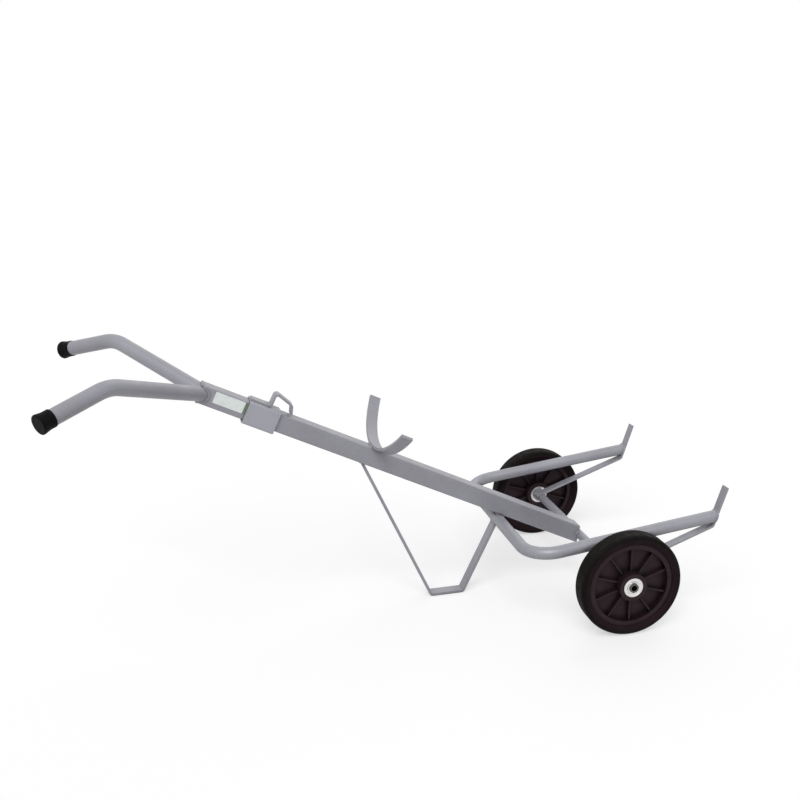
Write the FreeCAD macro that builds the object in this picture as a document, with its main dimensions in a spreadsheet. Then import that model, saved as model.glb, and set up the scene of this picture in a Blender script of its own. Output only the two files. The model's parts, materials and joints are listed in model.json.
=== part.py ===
"""Drum trolley: a two-wheeled steel trolley with a sliding rim hook and a parking stand.

Millimetres, +X towards the toe, +Y to the left of a person at the handles, +Z up.
The trolley stands on its wheels and its stand; the origin is under the middle of its box.
"""
import FreeCAD, Part
import math
import os
import re
import Sketcher

os.makedirs("parts", exist_ok=True)
doc = FreeCAD.newDocument("drum_trolley")

# Driving dimensions, one spreadsheet cell each
SIZES = {
    # Cuts run this far past what they cut
    "overrun": 20,
    # Spine: square tube from the axle up to the handles, its lower end mitred upwards
    "spine_side": 40,
    "spine_wall": 2,
    "spine_corner": 3,
    "spine_length": 940,
    "spine_lean": 26,
    "spine_mitre": 14,
    # Handles: round tubes coped onto the spine's sides, set in from its upper end
    "handle_diameter": 31.75,
    "handle_wall": 2,
    "handle_inset": 16,
    "handle_splay": 45,
    "handle_leg": 283,
    "handle_sag": 4,
    "handle_drop": 33,
    "handle_bend": 90,
    "handle_grip": 149,
    # Handle caps: flared and closed at the end
    "cap_sleeve": 24,
    "cap_wall": 1.5,
    "cap_play": 0.3,
    "cap_flare": 3.5,
    "cap_flare_length": 12,
    "cap_end": 4,
    "cap_rounding": 2,
    # Flat bar of the stand and the saddle
    "bar_width": 25.4,
    "bar_thickness": 6.35,
    "bar_bend": 7.2,
    # Saddle: bar rolled to an arc, with a flat seat on the spine's top
    "saddle_station": 541,
    "saddle_radius": 201,
    "saddle_span": 314.6,
    "saddle_seat": 0.9,
    # Parking stand: the rear leg's line crosses the spine's middle at its station
    "stand_station": 583,
    "foot_reach": 283,
    "foot_length": 75,
    # Fork: one tube bent to a U under the spine, clear of the tyres
    "fork_diameter": 26.7,
    "fork_wall": 2,
    "fork_station": 206,
    "fork_clearance": 8.65,
    "fork_bend": 63.5,
    "fork_seat": 21,
    # Toe brackets, set in from the fork's middle
    "toe_width": 19.05,
    "toe_thickness": 4.76,
    "toe_reach": 212.2,
    "toe_lift": 87,
    "toe_height": 90,
    "toe_lean": 18.5,
    "toe_inset": 2,
    "toe_bend": 8,
    "brace_tail": 12,
    "brace_cope": 1,
    # Sliding clamp: its middle is set in from the spine's upper end, the hook is set lower
    "sleeve_length": 70,
    "sleeve_wall": 3,
    "sleeve_corner": 4,
    "sleeve_inset": 136,
    "sleeve_side_gap": 2,
    "sleeve_top_gap": 0.3,
    "sleeve_low_gap": 3.7,
    "hook_width": 28,
    "hook_thickness": 4.5,
    "hook_bend": 6,
    "hook_foot": 44,
    "hook_setback": 11,
    "hook_height": 56,
    "hook_reach": 41,
    "hook_fall": 13,
    "hook_tip_reach": 6,
    "hook_tip_drop": 18,
    # Axle
    "axle_diameter": 20,
    "axle_bore": 13,
    "axle_end": 2,
    "collar_width": 8,
    "collar_wall": 5,
    "spacer_wall": 3.5,
    "ring_width": 1.2,
    "ring_depth": 0.6,
    "ring_wall": 3.2,
    "ring_gap": 8,
    # Wheels
    "track": 548,
    "wheel_diameter": 225,
    "tyre_width": 44,
    "tyre_seat": 36,
    "tyre_flank": 8,
    "tyre_depth": 20.5,
    "tyre_shoulder": 10,
    "tyre_bead": 2,
    "hub_width": 32,
    "hub_rim": 10,
    "hub_web": 6,
    "hub_length": 52,
    "boss_wall": 9,
    "hub_bore": 36,
    "rib_count": 10,
    "rib_thickness": 4,
    "rib_setback": 4,
    # Ball bearings
    "bearing_diameter": 42,
    "bearing_width": 12,
    "bearing_inner_edge": 27,
    "bearing_outer_edge": 37,
    "ball_diameter": 6.35,
    "ball_count": 9,
    "ball_clearance": 0.3,
    "shield_thickness": 0.8,
    "shield_recess": 0.6,
    "shield_gap": 0.5,
}
sheet = doc.addObject("Spreadsheet::Sheet", "Sizes")
for row, (alias, number) in enumerate(SIZES.items(), start=1):
    sheet.set(f"A{row}", alias)
    sheet.set(f"B{row}", str(number))
    sheet.setAlias(f"B{row}", alias)
doc.recompute()

# Derived places, as formulas of the cells; the fork and the toes are measured from the axle
AXLE_HEIGHT = "wheel_diameter / 2"
AXLE_RADIUS = "axle_diameter / 2"
HANDLE_ROOT = "(spine_length - handle_inset)"
FORK_SPREAD = "(track - tyre_width - fork_diameter - 2 * fork_clearance)"
TOE_SPREAD = f"({FORK_SPREAD} - 2 * toe_inset)"
FORK_DEPTH = "((spine_side + fork_diameter) / 2)"
FORK_X = f"(-fork_station * cos(spine_lean) - {FORK_DEPTH} * sin(spine_lean))"
FORK_Z = f"(fork_station * sin(spine_lean) - {FORK_DEPTH} * cos(spine_lean))"
SEAT_X = "(toe_reach + fork_seat * sin(toe_lean) - toe_thickness / 2 * cos(toe_lean))"
SEAT_Z = "(toe_lift + fork_seat * cos(toe_lean) + toe_thickness / 2 * sin(toe_lean))"
FORK_RISE = f"(atan2({SEAT_Z} - {FORK_Z}; {SEAT_X} - {FORK_X}) / 1 deg)"
FORK_ARM = f"hypot({SEAT_X} - {FORK_X}; {SEAT_Z} - {FORK_Z})"
BRACE_SPAN = "hypot(toe_reach; toe_lift)"
BRACE_RISE = f"({AXLE_RADIUS} + toe_thickness / 2 - brace_cope)"
BRACE_SLOPE = f"((atan2(toe_lift; toe_reach) - asin({BRACE_RISE} / {BRACE_SPAN})) / 1 deg)"
BRACE_TURN = f"(toe_lean + {BRACE_SLOPE})"
BRACE_LENGTH = f"(sqrt({BRACE_SPAN} ^ 2 - {BRACE_RISE} ^ 2) + brace_tail)"
SADDLE_LOW = "(spine_side / 2 - saddle_seat)"
SADDLE_SWEEP = "asin(saddle_span / 2 / saddle_radius)"
SLEEVE_MIDDLE = "(spine_length - sleeve_inset)"
SLEEVE_TOP = "(spine_side / 2 + sleeve_top_gap + sleeve_wall)"
HOOK_POST = f"({SLEEVE_MIDDLE} - hook_setback)"
HUB_RADIUS = "(wheel_diameter / 2 - tyre_depth)"
SEAT_DEPTH = "(hub_length / 2 - bearing_width)"
BALL_PITCH = "((bearing_inner_edge + bearing_outer_edge) / 4)"

X_AXIS = FreeCAD.Vector(1, 0, 0)
Y_AXIS = FreeCAD.Vector(0, 1, 0)
Z_AXIS = FreeCAD.Vector(0, 0, 1)
NO_MOVE = FreeCAD.Vector()
NO_TURN = FreeCAD.Rotation()
FULL_TURN = 360
HALF_TURN = 180
QUARTER_TURN = 90
PARALLEL_SHARE = 0.999
SIDES = {"left": 1, "right": -1}


# Formulas and vectors
def full(formula):
    """A formula with the sheet's name before each alias."""
    def with_sheet(word):
        return f"Sizes.{word.group()}" if word.group() in SIZES else word.group()
    return re.sub(r"[a-z_0-9]+", with_sheet, formula)


def value(formula):
    """What a formula gives now, as a plain number."""
    result = sheet.evalExpression(full(formula))
    return float(getattr(result, "Value", result))


def point(x, y, z):
    """A vector of three formulas."""
    return FreeCAD.Vector(value(x), value(y), value(z))


def turn_about(axis, formula):
    """A rotation about an axis by a formula in degrees."""
    return FreeCAD.Rotation(axis, value(formula))


def bind(target, **formulas):
    """Binds properties of an object to formulas of the sheet."""
    for name, formula in formulas.items():
        target.setExpression(name, full(formula))


# Sketches whose points and radii are bound to the sheet
def new_body(label):
    """An empty body with its label."""
    body = doc.addObject("PartDesign::Body", label)
    body.Label = label
    return body


def origin_feature(body, role):
    """One of a body's own origin planes or axes."""
    return next(feature for feature in body.Origin.OriginFeatures if feature.Role == role)


def new_sketch(body, role, move=NO_MOVE, turn=NO_TURN):
    """A sketch on one of the body's origin planes, moved and turned within it."""
    sketch = body.newObject("Sketcher::SketchObject", f"{body.Name}_sketch")
    sketch.AttachmentSupport = [(origin_feature(body, role), "")]
    sketch.MapMode = "FlatFace"
    sketch.AttachmentOffset = FreeCAD.Placement(move, turn)
    return sketch


def measure(sketch, rule, formula):
    """Adds a measured constraint and binds it to a formula."""
    bind(sketch, **{f"Constraints[{sketch.addConstraint(rule)}]": formula})


def place(sketch, geometry, end, across, along):
    """Ties a point of a sketch to two formulas, measured from the sketch's origin."""
    for kind, axis, formula in (("DistanceX", -2, across), ("DistanceY", -1, along)):
        if formula == "0":
            sketch.addConstraint(Sketcher.Constraint("PointOnObject", geometry, end, axis))
            continue
        number = value(formula)
        if number < 0:
            measure(sketch, Sketcher.Constraint(kind, geometry, end, -1, 1, -number), f"-({formula})")
        else:
            measure(sketch, Sketcher.Constraint(kind, -1, 1, geometry, end, number), formula)


def outline(sketch, corners):
    """A closed outline of straight edges through corners given as formulas."""
    spots = [point(across, along, "0") for across, along in corners]
    for start, stop in zip(spots, spots[1:] + spots[:1]):
        sketch.addGeometry(Part.LineSegment(start, stop))
    for index, (across, along) in enumerate(corners):
        before = (index - 1) % len(corners)
        sketch.addConstraint(Sketcher.Constraint("Coincident", before, 2, index, 1))
        place(sketch, index, 1, across, along)


def rectangle(low_across, high_across, low_along, high_along):
    """The corners of an upright rectangle."""
    return [
        (low_across, low_along),
        (high_across, low_along),
        (high_across, high_along),
        (low_across, high_along),
    ]


def ring_profile(sketch, *diameters):
    """Circles about the sketch's origin, with diameters given as formulas."""
    for diameter in diameters:
        index = sketch.addGeometry(Part.Circle(NO_MOVE, Z_AXIS, value(diameter) / 2))
        place(sketch, index, 3, "0", "0")
        measure(sketch, Sketcher.Constraint("Diameter", index, value(diameter)), diameter)


def bent_path(sketch, corners, radius):
    """A path of straight runs with a tangent arc of one radius at each inner corner.

    Returns the names of its edges in order.
    """
    spots = [point(across, along, "0") for across, along in corners]
    bend = value(radius)
    starts = spots[:1]
    stops = []
    arcs = []
    for before, corner, after in zip(spots, spots[1:], spots[2:]):
        back = (before - corner).normalize()
        ahead = (after - corner).normalize()
        middle = (back + ahead).normalize()
        half_angle = back.getAngle(ahead) / 2
        run = bend / math.tan(half_angle)
        crown = corner + middle * (bend / math.sin(half_angle) - bend)
        stops.append(corner + back * run)
        starts.append(corner + ahead * run)
        arcs.append(Part.Arc(stops[-1], crown, starts[-1]))
    stops.append(spots[-1])
    lines = []
    bends = []
    for index, (start, stop) in enumerate(zip(starts, stops)):
        lines.append(sketch.addGeometry(Part.LineSegment(start, stop)))
        bends.extend(sketch.addGeometry(arc) for arc in arcs[index:index + 1])
    place(sketch, lines[0], 1, *corners[0])
    place(sketch, lines[-1], 2, *corners[-1])
    for index, arc in enumerate(bends):
        gaps = [(sketch.getPoint(arc, end) - stops[index]).Length for end in (1, 2)]
        first, last = (1, 2) if gaps[0] < gaps[1] else (2, 1)
        sketch.addConstraint(Sketcher.Constraint("Tangent", lines[index], 2, arc, first))
        sketch.addConstraint(Sketcher.Constraint("Tangent", lines[index + 1], 1, arc, last))
        measure(sketch, Sketcher.Constraint("Radius", arc, bend), radius)
        corner = sketch.addGeometry(Part.Point(spots[index + 1]), True)
        place(sketch, corner, 1, *corners[index + 1])
        for line in lines[index:index + 2]:
            sketch.addConstraint(Sketcher.Constraint("PointOnObject", corner, 1, line))
    return [f"Edge{index + 1}" for index in range(len(lines) + len(bends))]


# Features of a body
def sweep(body, profile, path, edges):
    """A profile swept along a path."""
    pipe = body.newObject("PartDesign::AdditivePipe", f"{body.Name}_sweep")
    pipe.Profile = profile
    pipe.Spine = (path, edges)
    return pipe


def mirror(body, feature):
    """A feature and its mirror image about the body's XZ plane."""
    pair = body.newObject("PartDesign::Mirrored", f"{body.Name}_mirror")
    pair.Originals = [feature]
    pair.MirrorPlane = (origin_feature(body, "XZ_Plane"), [""])
    body.Tip = pair


def block(body, kind, low, spans, frame=FreeCAD.Placement()):
    """A box added to a body or cut from it, from its low corner and its spans."""
    box = body.newObject(f"PartDesign::{kind}Box", f"{body.Name}_box")
    bind(box, Length=spans[0], Width=spans[1], Height=spans[2])
    box.Placement = frame.multiply(FreeCAD.Placement(point(*low), NO_TURN))
    return box


def cross_cut(body, radius, length, centre):
    """A round cut through a body along Y, half its length each way."""
    bore = body.newObject("PartDesign::SubtractiveCylinder", f"{body.Name}_bore")
    bind(bore, Radius=radius, Height=length)
    end = centre + point("0", f"({length}) / 2", "0")
    bore.Placement = FreeCAD.Placement(end, FreeCAD.Rotation(X_AXIS, QUARTER_TURN))


def round_off(body, feature, radius, wanted):
    """Rounds the edges of a feature that a test picks."""
    doc.recompute()
    edges = enumerate(feature.Shape.Edges, start=1)
    fillet = body.newObject("PartDesign::Fillet", f"{body.Name}_rounding")
    fillet.Base = (feature, [f"Edge{index}" for index, edge in edges if wanted(edge)])
    bind(fillet, Radius=radius)
    return fillet


def runs_along_x(edge):
    """True for a straight edge along X."""
    if not isinstance(edge.Curve, Part.Line):
        return False
    return abs(edge.tangentAt(edge.FirstParameter).dot(X_AXIS)) > PARALLEL_SHARE


def circles_between(low, high):
    """A test for round edges whose radius lies between two formulas."""
    least = value(low)
    most = value(high)
    return lambda edge: isinstance(edge.Curve, Part.Circle) and least < edge.Curve.Radius < most


def turned(label, corners):
    """A body turned about its X axis from corners of (place along X, radius)."""
    body = new_body(label)
    profile = new_sketch(body, "XY_Plane")
    outline(profile, corners)
    turning = body.newObject("PartDesign::Revolution", f"{body.Name}_turning")
    turning.Profile = profile
    turning.ReferenceAxis = (profile, ["H_Axis"])
    turning.Angle = FULL_TURN
    return body, turning


def both_ways(half):
    """Corners on the positive side of X, followed by their mirror image."""
    return half + [(f"-({along})", radius) for along, radius in reversed(half)]


# Frames that pieces are placed in: on the floor, at the axle, on the spine and on the fork
ON_FLOOR = FreeCAD.Placement()
AT_AXLE = FreeCAD.Placement(point("0", "0", AXLE_HEIGHT), NO_TURN)
ON_SPINE = FreeCAD.Placement(AT_AXLE.Base, turn_about(Y_AXIS, "spine_lean"))
ON_FORK = AT_AXLE.multiply(FreeCAD.Placement(point(FORK_X, "0", FORK_Z), turn_about(Y_AXIS, f"-{FORK_RISE}")))
SPINE_LOW = ("-spine_length", "-spine_side / 2", "-spine_side / 2")
pieces = []


def keep(piece, frame):
    """Places a finished piece and keeps it for the assembly."""
    piece.Placement = frame
    pieces.append(piece)


# Spine tube, mitred at its lower end and notched there for the axle
def build_spine():
    body = new_body("spine_tube")
    tube = block(body, "Additive", SPINE_LOW, ("spine_length + overrun", "spine_side", "spine_side"))
    round_off(body, tube, "spine_corner", runs_along_x)
    low = "spine_wall - spine_side / 2"
    inner = "spine_side - 2 * spine_wall"
    block(body, "Subtractive", ("-spine_length - overrun", low, low), ("spine_length + 3 * overrun", inner, inner))
    heel = FreeCAD.Placement(point("0", "0", "-spine_side / 2"), turn_about(Y_AXIS, "-spine_mitre"))
    past = "(spine_side + 2 * overrun)"
    block(body, "Subtractive", ("0", f"-{past} / 2", "-overrun"), (past, past, past), heel)
    cross_cut(body, AXLE_RADIUS, past, NO_MOVE)
    keep(body, ON_SPINE)


# Handle tubes, swept in an upright plane and coped onto the spine and each other
def build_handle(side, sign):
    body = new_body(f"{side}_handle_tube")
    swing = turn_about(Y_AXIS, f"{sign} * ({HALF_TURN} - handle_splay)")
    path = new_sketch(body, "XZ_Plane", point(f"-{HANDLE_ROOT}", "0", "0"), swing)
    end = ("handle_leg + handle_grip * cos(handle_drop)", "-handle_sag - handle_grip * sin(handle_drop)")
    edges = bent_path(path, [("0", "0"), ("handle_leg", "-handle_sag"), end], "handle_bend")
    square = swing.multiply(turn_about(X_AXIS, "atan2(handle_sag; handle_leg)"))
    profile = new_sketch(body, "YZ_Plane", point("0", "0", f"-{HANDLE_ROOT}"), square)
    ring_profile(profile, "handle_diameter", "handle_diameter - 2 * handle_wall")
    sweep(body, profile, path, edges)
    block(body, "Subtractive", SPINE_LOW, ("spine_length", "spine_side", "spine_side"))
    reach = "(handle_diameter + overrun)"
    low_y = "0" if sign < 0 else f"-{reach}"
    block(body, "Subtractive", ("-spine_length - 2 * overrun", low_y, f"-{reach} / 2"), ("spine_length", reach, reach))
    keep(body, ON_SPINE)


# Handle caps: pushed over the tube, flared towards the closed end
def build_cap(side, sign):
    tube = "handle_diameter / 2"
    bore = f"{tube} + cap_play"
    flare = f"{tube} + cap_flare"
    body, turning = turned(f"{side}_handle_cap", [
        ("-cap_sleeve", bore),
        ("-cap_sleeve", f"{tube} + cap_wall"),
        ("-cap_flare_length", f"{tube} + cap_wall"),
        ("0", flare),
        ("cap_end", flare),
        ("cap_end", "0"),
        ("0", "0"),
        ("0", bore),
    ])
    end_edge = circles_between(f"{flare} - cap_rounding / 2", f"{flare} + cap_rounding")
    round_off(body, turning, "cap_rounding", lambda edge: end_edge(edge) and edge.CenterOfMass.x > 0)
    out = "(handle_leg + handle_grip * cos(handle_drop))"
    end = point(
        f"-{HANDLE_ROOT} - {out} * cos(handle_splay)",
        f"{sign} * {out} * sin(handle_splay)",
        "-handle_sag - handle_grip * sin(handle_drop)",
    )
    aim = point(
        "-cos(handle_drop) * cos(handle_splay)",
        f"{sign} * cos(handle_drop) * sin(handle_splay)",
        "-sin(handle_drop)",
    )
    keep(body, ON_SPINE.multiply(FreeCAD.Placement(end, FreeCAD.Rotation(X_AXIS, aim))))


# Saddle: flat bar rolled to an arc about a line along the spine, welded across its top
def build_saddle():
    body = new_body("drum_saddle")
    profile = new_sketch(body, "XZ_Plane")
    low_x = "-saddle_station - bar_width / 2"
    high_x = "-saddle_station + bar_width / 2"
    outline(profile, rectangle(low_x, high_x, SADDLE_LOW, f"{SADDLE_LOW} + bar_thickness"))
    centre = f"{SADDLE_LOW} + saddle_radius"
    ends = (point(low_x, centre, "0"), point(high_x, centre, "0"))
    axis = profile.addGeometry(Part.LineSegment(*ends), True)
    place(profile, axis, 1, low_x, centre)
    place(profile, axis, 2, high_x, centre)
    roll = body.newObject("PartDesign::Revolution", f"{body.Name}_roll")
    roll.Profile = profile
    roll.ReferenceAxis = (profile, ["Axis0"])
    bind(roll, Angle=SADDLE_SWEEP)
    mirror(body, roll)
    block(body, "Subtractive", SPINE_LOW, ("spine_length", "spine_side", "spine_side"))
    keep(body, ON_SPINE)


# Parking stand: a flat foot with a leg to the spine and a leg to the fork
def build_stand():
    body = new_body("parking_stand")
    level = "bar_thickness / 2"
    middle = "-foot_reach - foot_length / 2"
    spine_top = ("-stand_station * cos(spine_lean)", f"{AXLE_HEIGHT} + stand_station * sin(spine_lean)")
    fork_top = (FORK_X, f"{AXLE_HEIGHT} + {FORK_Z}")
    for corner, top in (("-foot_reach - foot_length", spine_top), ("-foot_reach", fork_top)):
        path = new_sketch(body, "XZ_Plane")
        edges = bent_path(path, [(middle, level), (corner, level), top], "bar_bend")
        profile = new_sketch(body, "YZ_Plane", point("0", "0", middle))
        outline(profile, rectangle("-bar_width / 2", "bar_width / 2", "0", "bar_thickness"))
        sweep(body, profile, path, edges)
    block(body, "Subtractive", SPINE_LOW, ("spine_length", "spine_side", "2 * spine_side"), ON_SPINE)
    cross_cut(body, "fork_diameter / 2", "bar_width + 2 * overrun", ON_FORK.Base)
    keep(body, ON_FLOOR)


# Fork: half a U swept from the middle outwards, mirrored, its ends cut to the toes
def build_fork():
    body = new_body("fork_tube")
    path = new_sketch(body, "XY_Plane")
    out = f"{FORK_SPREAD} / 2"
    edges = bent_path(path, [("0", "0"), ("0", out), (f"{FORK_ARM} + overrun", out)], "fork_bend")
    profile = new_sketch(body, "XZ_Plane")
    ring_profile(profile, "fork_diameter", "fork_diameter - 2 * fork_wall")
    mirror(body, sweep(body, profile, path, edges))
    at_toe = FreeCAD.Placement(point(FORK_ARM, "0", "0"), turn_about(Y_AXIS, f"toe_lean + {FORK_RISE}"))
    deep = "(fork_diameter + 2 * overrun)"
    wide = f"({FORK_SPREAD} + fork_diameter + 2 * overrun)"
    block(body, "Subtractive", ("0", f"-{wide} / 2", f"-{deep} / 2"), (deep, wide, deep), at_toe)
    keep(body, ON_FORK)


# Toe brackets: an upright toe, a bend, and a brace that lands on the axle
def build_toe(side, sign):
    body = new_body(f"{side}_toe_bracket")
    path = new_sketch(body, "XZ_Plane")
    tail = (f"-{BRACE_LENGTH} * cos({BRACE_TURN})", f"-{BRACE_LENGTH} * sin({BRACE_TURN})")
    edges = bent_path(path, [("0", "toe_height"), ("0", "0"), tail], "toe_bend")
    profile = new_sketch(body, "XY_Plane", point("0", "0", "toe_height"))
    outline(profile, rectangle("-toe_thickness / 2", "toe_thickness / 2", "-toe_width / 2", "toe_width / 2"))
    sweep(body, profile, path, edges)
    lean = turn_about(Y_AXIS, "toe_lean")
    axle = lean.inverted().multVec(point("-toe_reach", "0", "-toe_lift"))
    cross_cut(body, AXLE_RADIUS, "toe_width + 2 * overrun", axle)
    corner = point("toe_reach", f"{sign} * {TOE_SPREAD} / 2", "toe_lift")
    keep(body, AT_AXLE.multiply(FreeCAD.Placement(corner, lean)))


# Sliding sleeve round the spine, hanging on its top with room on the other sides
def build_sleeve():
    body = new_body("clamp_sleeve")
    wide = "(spine_side + 2 * sleeve_side_gap)"
    high = "(spine_side + sleeve_top_gap + sleeve_low_gap)"
    outer_wide = f"({wide} + 2 * sleeve_wall)"
    outer_high = f"({high} + 2 * sleeve_wall)"
    back = f"(-{SLEEVE_MIDDLE} - sleeve_length / 2)"
    low = (back, f"-{outer_wide} / 2", f"{SLEEVE_TOP} - {outer_high}")
    tube = block(body, "Additive", low, ("sleeve_length", outer_wide, outer_high))
    round_off(body, tube, "sleeve_corner", runs_along_x)
    low = (f"{back} - overrun", f"-{wide} / 2", f"{SLEEVE_TOP} - {outer_high} + sleeve_wall")
    block(body, "Subtractive", low, ("sleeve_length + 2 * overrun", wide, high))
    keep(body, ON_SPINE)


# Rim hook: a strip with its foot on the sleeve, bent up, forward and down again
def build_hook():
    body = new_body("rim_hook")
    level = f"{SLEEVE_TOP} + hook_thickness / 2"
    tip = f"(-{HOOK_POST} + hook_reach)"
    fall = "(hook_height - hook_fall)"
    path = new_sketch(body, "XZ_Plane")
    edges = bent_path(path, [
        (f"-{HOOK_POST} - hook_foot", level),
        (f"-{HOOK_POST}", level),
        (f"-{HOOK_POST}", "hook_height"),
        (tip, fall),
        (f"{tip} + hook_tip_reach", f"{fall} - hook_tip_drop"),
    ], "hook_bend")
    profile = new_sketch(body, "YZ_Plane", point("0", "0", f"-{HOOK_POST} - hook_foot"))
    outline(profile, rectangle("-hook_width / 2", "hook_width / 2", SLEEVE_TOP, f"{SLEEVE_TOP} + hook_thickness"))
    sweep(body, profile, path, edges)
    keep(body, ON_SPINE)


# Axle tube with a groove for a retaining ring near each end
def build_axle():
    bore = "axle_bore / 2"
    groove = f"{AXLE_RADIUS} - ring_depth"
    inner = "(track + hub_length) / 2"
    outer = f"{inner} + ring_width"
    end = f"{outer} + axle_end"
    body, _ = turned("axle_tube", both_ways([
        (end, bore),
        (end, AXLE_RADIUS),
        (outer, AXLE_RADIUS),
        (outer, groove),
        (inner, groove),
        (inner, AXLE_RADIUS),
    ]))
    keep(body, AT_AXLE.multiply(FreeCAD.Placement(NO_MOVE, FreeCAD.Rotation(Z_AXIS, QUARTER_TURN))))


# Rings on the axle: a welded collar, a spacer tube and a split retaining ring
def build_axle_rings(side, frame):
    end = "hub_length / 2"
    spans = (
        ("axle_collar", f"-{end} - collar_width", f"-{end}", AXLE_RADIUS, "collar_wall"),
        ("bearing_spacer", f"-{SEAT_DEPTH}", SEAT_DEPTH, AXLE_RADIUS, "spacer_wall"),
        ("retaining_ring", end, f"{end} + ring_width", f"{AXLE_RADIUS} - ring_depth", "ring_wall"),
    )
    for name, low, high, inner, wall in spans:
        ring, _ = turned(f"{side}_{name}", rectangle(low, high, inner, f"{AXLE_RADIUS} + {wall}"))
        if name == "retaining_ring":
            block(ring, "Subtractive", (f"{end} - overrun", "-ring_gap / 2", "0"),
                  ("2 * overrun", "ring_gap", "axle_diameter"))
        keep(ring, frame)


# Tyre: solid rubber ring with rounded shoulders, its flanks drawn in to the seat
def build_tyre(side, frame):
    body, ring = turned(f"{side}_tyre", both_ways([
        ("tyre_seat / 2", HUB_RADIUS),
        ("tyre_width / 2", f"{HUB_RADIUS} + tyre_flank"),
        ("tyre_width / 2", AXLE_HEIGHT),
    ]))
    outside = circles_between(f"{AXLE_HEIGHT} - tyre_bead", f"{AXLE_HEIGHT} + tyre_bead")
    inside = circles_between(f"{HUB_RADIUS} - tyre_bead", f"{HUB_RADIUS} + tyre_bead")
    shoulders = round_off(body, ring, "tyre_shoulder", outside)
    round_off(body, shoulders, "tyre_bead", inside)
    keep(body, frame)


# Wheel centre: boss, web and rim, with ribs between the boss and the rim
def build_hub(side, frame):
    seat = "bearing_diameter / 2"
    boss = "(bearing_diameter / 2 + boss_wall)"
    rim = f"({HUB_RADIUS} - hub_rim)"
    body, _ = turned(f"{side}_wheel_hub", both_ways([
        (SEAT_DEPTH, "hub_bore / 2"),
        (SEAT_DEPTH, seat),
        ("hub_length / 2", seat),
        ("hub_length / 2", boss),
        ("hub_web / 2", boss),
        ("hub_web / 2", rim),
        ("hub_width / 2", rim),
        ("hub_width / 2", HUB_RADIUS),
    ]))
    deep = "(hub_width - 2 * rib_setback)"
    low = f"({boss} - rib_thickness)"
    high = f"({rim} + rib_thickness)"
    rib = block(body, "Additive", (f"-{deep} / 2", "-rib_thickness / 2", low),
                (deep, "rib_thickness", f"{high} - {low}"))
    ribs = body.newObject("PartDesign::PolarPattern", f"{body.Name}_ribs")
    ribs.Originals = [rib]
    ribs.Axis = (origin_feature(body, "X_Axis"), [""])
    ribs.Angle = FULL_TURN
    bind(ribs, Occurrences="rib_count")
    body.Tip = ribs
    keep(body, frame)


# Ball bearing: two rings with a ball track, the balls, and a shield on the open side
def build_bearing(name, frame):
    inner_edge = "bearing_inner_edge / 2"
    outer_edge = "bearing_outer_edge / 2"
    middle = "bearing_width / 2"
    for label, low, high in (
        ("inner_ring", AXLE_RADIUS, inner_edge),
        ("outer_ring", outer_edge, "bearing_diameter / 2"),
    ):
        ring, _ = turned(f"{name}_{label}", rectangle("0", "bearing_width", low, high))
        track = ring.newObject("PartDesign::SubtractiveTorus", f"{ring.Name}_track")
        bind(track, Radius1=BALL_PITCH, Radius2="ball_diameter / 2 + ball_clearance")
        track.Placement = FreeCAD.Placement(point(middle, "0", "0"), FreeCAD.Rotation(Y_AXIS, QUARTER_TURN))
        keep(ring, frame)
    balls = doc.addObject("Part::Compound", f"{name}_balls")
    balls.Label = f"{name}_balls"
    spheres = []
    for index in range(int(value("ball_count"))):
        sphere = doc.addObject("Part::Sphere", f"{name}_ball")
        turn = f"{index} * {FULL_TURN} / ball_count"
        bind(sphere, Radius="ball_diameter / 2")
        sphere.Placement.Base = point(middle, f"{BALL_PITCH} * cos({turn})", f"{BALL_PITCH} * sin({turn})")
        spheres.append(sphere)
    balls.Links = spheres
    keep(balls, frame)
    face = "bearing_width - shield_recess"
    section = rectangle(f"{face} - shield_thickness", face, f"{inner_edge} + shield_gap", outer_edge)
    keep(turned(f"{name}_shield", section)[0], frame)


# One wheel, its bearings and the rings on the axle, all turned about the axle
def build_wheel(side, sign):
    outward = FreeCAD.Rotation(Z_AXIS, sign * QUARTER_TURN)
    frame = AT_AXLE.multiply(FreeCAD.Placement(point("0", f"{sign} * track / 2", "0"), outward))
    build_tyre(side, frame)
    build_hub(side, frame)
    build_axle_rings(side, frame)
    seat = FreeCAD.Placement(point(SEAT_DEPTH, "0", "0"), NO_TURN)
    turned_back = FreeCAD.Placement(NO_MOVE, FreeCAD.Rotation(Z_AXIS, HALF_TURN))
    build_bearing(f"{side}_outboard_bearing", frame.multiply(seat))
    build_bearing(f"{side}_inboard_bearing", frame.multiply(turned_back).multiply(seat))


build_spine()
build_saddle()
build_stand()
build_fork()
build_sleeve()
build_hook()
build_axle()
for side_name, side_sign in SIDES.items():
    build_handle(side_name, side_sign)
    build_cap(side_name, side_sign)
    build_toe(side_name, side_sign)
    build_wheel(side_name, side_sign)
doc.recompute()

# The origin goes under the middle of the whole trolley's box
whole = FreeCAD.BoundBox()
for piece in pieces:
    whole.add(piece.Shape.optimalBoundingBox())
for piece in pieces:
    piece.Placement.Base = piece.Placement.Base - FreeCAD.Vector(whole.Center.x, 0, 0)
doc.recompute()

# Nothing is written unless every object is sound
for item in doc.Objects:
    if "Invalid" in item.State or "Error" in item.State:
        raise RuntimeError(f"{item.Name} failed: {item.State}")
for piece in pieces:
    if piece.Shape.isNull() or not piece.Shape.isValid():
        raise RuntimeError(f"{piece.Label} has no valid shape")
for piece in pieces:
    piece.Shape.exportStep(os.path.join("parts", f"{piece.Label}.step"))
    print(f"{piece.Label}: {len(piece.Shape.Solids)} solids, {piece.Shape.Volume:.0f} mm3")
print(f"axle at x = {-whole.Center.x:.3f}, box {whole.XLength:.1f} x {whole.YLength:.1f} x {whole.ZLength:.1f}")
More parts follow.
